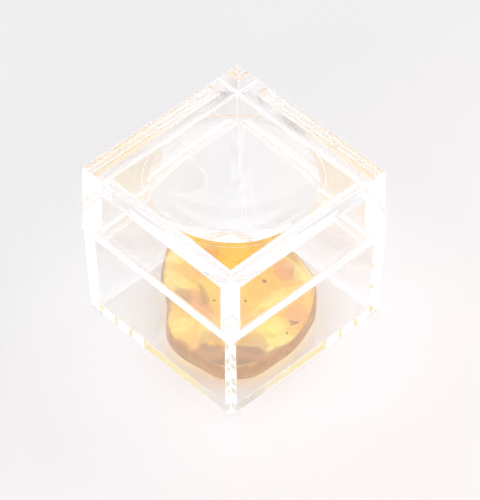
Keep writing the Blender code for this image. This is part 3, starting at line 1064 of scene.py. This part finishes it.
class SPECIMEN_OT_specks(bpy.types.Operator):
    """Scatters the fine dust specks through the amber"""

    bl_idname = "specimen.specks"
    bl_label = "Specks in the amber"

    def execute(self, context):
        sizes = context.scene.specimen_amber
        level = (AMBER_LOW.z + AMBER_HIGH.z) / 2
        bm = bmesh.new()
        rim = []
        for point, out in zip(*amber_outline(60)):
            inside = point - out * 1.6 * sizes.edge
            rim.append(bm.verts.new((inside.x, inside.y, level)))
        bm.faces.new(rim)
        dust = shell_finish("dust")
        values = {
            "Density": sizes.speck_count * 1e4,
            "Size": sizes.speck_size,
            "Depth": SPECK_DEPTH,
            "Seed": sizes.seed,
            "Finish": dust,
        }
        specks = grown("amber_specks", mesh_of("speck patch", bm), speck_tree(), values)
        piece("amber_specks", specks, dust)
        return {"FINISHED"}


def smoothed(points, steps=5):
    """Points along a curve through the given ones."""
    line = []
    ends = [points[0] * 2 - points[1], *points, points[-1] * 2 - points[-2]]
    for before, near, far, after in zip(ends, ends[1:], ends[2:], ends[3:]):
        slope = far - before
        bend = 2 * before - 5 * near + 4 * far - after
        twist = 3 * near - before - 3 * far + after
        for step in range(steps):
            t = step / steps
            line.append(0.5 * (2 * near + slope * t + bend * t * t + twist * t**3))
    return [*line, points[-1]]


class SPECIMEN_OT_gnat(bpy.types.Operator):
    """Builds the gnat: body, eyes, legs and feelers, wings"""

    bl_idname = "specimen.gnat"
    bl_label = "Gnat"

    def execute(self, context):
        sizes = context.scene.specimen_insects
        turn = EIGHTH_TURN + math.radians(GNAT_TURN)
        place = sealed_place(GNAT_PLACE, turn, sizes.gnat_length)
        chitin = shell_finish("gnat chitin")
        bm = bmesh.new()
        for segment in GNAT_SEGMENTS:
            add_egg(bm, place, *segment)
        piece("gnat_body", mesh_of("gnat_body", bm), chitin, ("gnat",))

        bm = bmesh.new()
        for side in (-1, 1):
            add_egg(bm, place @ Matrix.Translation((0, side * 0.062, 0)), *GNAT_EYE)
        piece("gnat_eyes", mesh_of("gnat_eyes", bm), shell_finish("gnat eye"))

        values = {"Radius": sizes.leg_radius, "Sides": 8, "Finish": chitin}
        legs = grown("gnat_legs", self.limb_paths(place), leg_tree(), values)
        piece("gnat_legs", legs, chitin)

        bm = bmesh.new()
        along, aside, up = WING_ROOT
        for side in (-1, 1):
            root = Matrix.Translation((along, side * aside, up))
            spread = Matrix.Rotation(-side * math.radians(WING_SPREAD), 4, "Z")
            droop = Matrix.Rotation(math.radians(WING_DROOP), 4, "Y")
            self.add_wing(bm, place @ root @ spread @ droop, side)
        piece("gnat_wings", mesh_of("gnat_wings", bm), wing_finish())
        return {"FINISHED"}

    def limb_paths(self, place):
        """Lines of points for six legs and two feelers, with how thick each point is."""
        bm = bmesh.new()
        thick = bm.verts.layers.float.new("thick")
        for side in (-1, 1):
            for hip, knee, foot in GNAT_LEGS:
                leg = (
                    (hip, 0.07, -0.08),
                    ((hip + knee) / 2, 0.17, 0.01),
                    (knee, 0.27, 0.06),
                    ((knee + foot) / 2, 0.38, -0.02),
                    (foot, 0.47, -0.08),
                    (foot + 0.06, 0.53, -0.10),
                )
                self.add_line(bm, thick, place, side, leg, 1.0, 0.32)
            self.add_line(bm, thick, place, side, GNAT_FEELER, 0.6, 0.3, 0.35)
        return plain_mesh("limb paths", bm)

    def add_line(self, bm, thick, place, side, points, start, end, beads=0.0):
        """A limb's line, thinning from start to end, with every other point a bead."""
        line = smoothed([Vector((x, side * y, z)) for x, y, z in points])
        verts = []
        for index, point in enumerate(line):
            vertex = bm.verts.new(place @ point)
            t = index / (len(line) - 1)
            vertex[thick] = (start + (end - start) * t) * (1 + beads * (index % 2))
            verts.append(vertex)
        for near, far in zip(verts, verts[1:]):
            bm.edges.new((near, far))

    def add_wing(self, bm, matrix, side):
        """A thin wing, closed all round, a little wavy."""
        rim = []
        for step in range(WING_SIDES):
            angle = math.tau * step / WING_SIDES
            widening = 1.0 - WING_TAPER * math.cos(angle)
            x = WING_HALF_LENGTH * math.cos(angle)
            rim.append((x, WING_HALF_WIDTH * math.sin(angle) * widening * side))
        loops = []
        for reach, lift in WING_RINGS:
            loop = []
            for x, y in rim:
                px, py = WING_MIDDLE + x * reach, y * reach
                wave = 0.012 * math.sin(14 * px) + 0.010 * math.cos(20 * py)
                level = wave + WING_HALF_THICKNESS * lift
                loop.append(bm.verts.new(matrix @ Vector((px, py, level))))
            loops.append(loop)
        skin(bm, loops)
        bm.faces.new(loops[0])
        bm.faces.new(loops[-1])


class SPECIMEN_OT_beetle(bpy.types.Operator):
    """Builds the small round beetle with its wing cases, head and tucked legs"""

    bl_idname = "specimen.beetle"
    bl_label = "Beetle"

    def execute(self, context):
        turn = EIGHTH_TURN + math.radians(BEETLE_TURN)
        place = sealed_place(BEETLE_PLACE, turn, context.scene.specimen_insects.beetle_length)
        bm = bmesh.new()
        bmesh.ops.create_uvsphere(bm, u_segments=48, v_segments=28, radius=0.5)
        for vertex in bm.verts:
            x, y, z = vertex.co
            seam = math.exp(-((y / 0.025) ** 2)) * max(0.0, z) * 0.10
            rows = 0.024 * math.cos(46 * y) * max(0.0, z)
            high = 0.50 * z * (1.0 if z > 0 else 0.7)
            vertex.co = Vector((0.76 * x - 0.12, 0.72 * y, high - seam + rows))
        bmesh.ops.transform(bm, matrix=place, verts=bm.verts)
        for segment in BEETLE_SEGMENTS:
            add_egg(bm, place, *segment)
        for side in (-1, 1):
            for x in (0.20, -0.02, -0.22):
                hip = Matrix.Translation((x, side * 0.30, -0.14))
                add_egg(bm, place @ hip @ Matrix.Rotation(side * 1.1, 4, "Z"), *BEETLE_LEG)
        shell = shell_finish("beetle chitin")
        piece("beetle_body", mesh_of("beetle_body", bm), shell, ("beetle",))
        return {"FINISHED"}


class SPECIMEN_OT_crumbs(bpy.types.Operator):
    """Builds the three crumbs of bark"""

    bl_idname = "specimen.crumbs"
    bl_label = "Crumbs"

    def execute(self, context):
        long = context.scene.specimen_insects.crumb_length
        bark = shell_finish("bark")
        for number, place in enumerate(CRUMB_PLACES, 1):
            bm = bmesh.new()
            bmesh.ops.create_icosphere(bm, subdivisions=4, radius=0.5)
            for vertex in bm.verts:
                way = vertex.co.normalized()
                rough = noise.noise(way * 1.6 + Vector((number * 5.0, 0, 0)))
                rough += 0.5 * noise.noise(way * 4.0 + Vector((0, number * 7.0, 0)))
                swollen = vertex.co * (0.88 + 0.30 * rough)
                vertex.co = Vector((swollen.x, swollen.y * 0.8, swollen.z * 0.6))
            matrix = sealed_place(place, math.radians(40 * number), long)
            bmesh.ops.transform(bm, matrix=matrix, verts=bm.verts)
            name = f"bark_crumb_{number}"
            piece(name, mesh_of(name, bm), bark, (f"crumb_{number}",))
        return {"FINISHED"}


class SPECIMEN_OT_stage(bpy.types.Operator):
    """Sets the pale ground, the soft light all round and the camera"""

    bl_idname = "specimen.stage"
    bl_label = "Stage"

    def execute(self, context):
        scene = context.scene
        bm = bmesh.new()
        bmesh.ops.create_circle(bm, cap_ends=True, segments=96, radius=GROUND_RADIUS)
        bmesh.ops.translate(bm, vec=(0, 0, -GROUND_DROP), verts=bm.verts)
        mesh = plain_mesh("ground", bm)
        mesh.materials.append(ground_finish())
        ground = bpy.data.objects.new("ground", mesh)
        scene.collection.objects.link(ground)

        flat = math.cos(CAMERA_ELEVATION)
        x, y = math.cos(CAMERA_AZIMUTH), math.sin(CAMERA_AZIMUTH)
        right = Vector((x, y, 0.0))
        towards = Vector((y * flat, -x * flat, math.sin(CAMERA_ELEVATION)))
        self.light(scene, towards, right)
        self.place_camera(scene, towards, right)
        scene.view_settings.view_transform = "Standard"
        scene.cycles.max_bounces = LIGHT_BOUNCES
        scene.cycles.transmission_bounces = LIGHT_BOUNCES
        scene.cycles.glossy_bounces = LIGHT_BOUNCES
        scene.cycles.diffuse_bounces = DIFFUSE_BOUNCES
        scene.cycles.transparent_max_bounces = TRANSPARENT_BOUNCES
        scene.cycles.blur_glossy = 0.0
        return {"FINISHED"}

    def light(self, scene, towards, right):
        """A white surround, with a dim slit behind and an opening where the camera is."""
        values = scene.specimen_finishes
        world = bpy.data.worlds.new("soft light")
        world.use_nodes = True
        tree = world.node_tree
        way = add_node(tree, "ShaderNodeTexCoord").outputs["Generated"]
        behind = (-towards.x, -towards.y, towards.z)
        slit = fade(tree, measure(tree, "DOT_PRODUCT", way, behind), SLIT_EDGE)
        aside = calculate(tree, "ABSOLUTE", measure(tree, "DOT_PRODUCT", way, right))
        dim = mix(tree, fade(tree, aside, WARM_EDGE), values.dim_light, values.warm_light)
        opening = fade(tree, measure(tree, "DOT_PRODUCT", way, towards), OPENING_EDGE)
        sky = mix(tree, opening, mix(tree, slit, values.light, dim), values.opening)
        light = {"Color": sky, "Strength": values.light_strength}
        set_inputs(tree, tree.nodes["Background"], light)
        scene.world = world

    def place_camera(self, scene, towards, right):
        """The camera at the photo's angle: from above the nearest corner of the box."""
        up = towards.cross(right)
        leaned_right = right * math.cos(CAMERA_ROLL) + up * math.sin(CAMERA_ROLL)
        leaned_up = up * math.cos(CAMERA_ROLL) - right * math.sin(CAMERA_ROLL)
        place = Vector((0, 0, LID_HIGH.z / 2)) + towards * CAMERA_DISTANCE
        data = bpy.data.cameras.new("camera")
        camera = bpy.data.objects.new("camera", data)
        scene.collection.objects.link(camera)
        turned = Matrix((leaned_right, leaned_up, towards)).transposed().to_4x4()
        camera.matrix_world = Matrix.Translation(place) @ turned
        picture_share = PIXELS_PER_METRE / PICTURE_HEIGHT
        data.lens = picture_share * CAMERA_DISTANCE * data.sensor_width
        data.shift_x = (PICTURE_WIDTH / 2 - BOX_CENTRE_PIXEL[0]) / PICTURE_HEIGHT
        data.shift_y = (BOX_CENTRE_PIXEL[1] - PICTURE_HEIGHT / 2) / PICTURE_HEIGHT
        data.clip_start = 0.01
        scene.camera = camera


class SPECIMEN_PT_panel(bpy.types.Panel):
    """Lists the pieces of the specimen"""

    bl_idname = "SPECIMEN_PT_panel"
    bl_label = "Insects in amber"
    bl_space_type = "VIEW_3D"
    bl_region_type = "UI"
    bl_category = "Amber"

    def draw(self, context):
        for group in GROUPS:
            values = getattr(context.scene, group)
            box = self.layout.box()
            for name in values.__annotations__:
                box.prop(values, name)
        for operator in OPERATORS:
            self.layout.operator(operator.bl_idname)


OPERATORS = (
    SPECIMEN_OT_stage,
    SPECIMEN_OT_box_base,
    SPECIMEN_OT_box_lid,
    SPECIMEN_OT_amber,
    SPECIMEN_OT_specks,
    SPECIMEN_OT_gnat,
    SPECIMEN_OT_beetle,
    SPECIMEN_OT_crumbs,
)
GROUPS = {
    "specimen_box": BoxSizes,
    "specimen_amber": AmberSizes,
    "specimen_insects": InsectSizes,
    "specimen_finishes": Finishes,
}


def register():
    for name, group in GROUPS.items():
        bpy.utils.register_class(group)
        setattr(bpy.types.Scene, name, PointerProperty(type=group))
    for operator in OPERATORS:
        bpy.utils.register_class(operator)
    bpy.utils.register_class(SPECIMEN_PT_panel)


def unregister():
    bpy.utils.unregister_class(SPECIMEN_PT_panel)
    for operator in reversed(OPERATORS):
        bpy.utils.unregister_class(operator)
    for name, group in GROUPS.items():
        delattr(bpy.types.Scene, name)
        bpy.utils.unregister_class(group)


def main():
    register()
    bpy.ops.specimen.stage()
    bpy.ops.specimen.box_base()
    bpy.ops.specimen.box_lid()
    bpy.ops.specimen.amber()
    bpy.ops.specimen.specks()
    bpy.ops.specimen.gnat()
    bpy.ops.specimen.beetle()
    bpy.ops.specimen.crumbs()


if __name__ == "__main__":
    main()
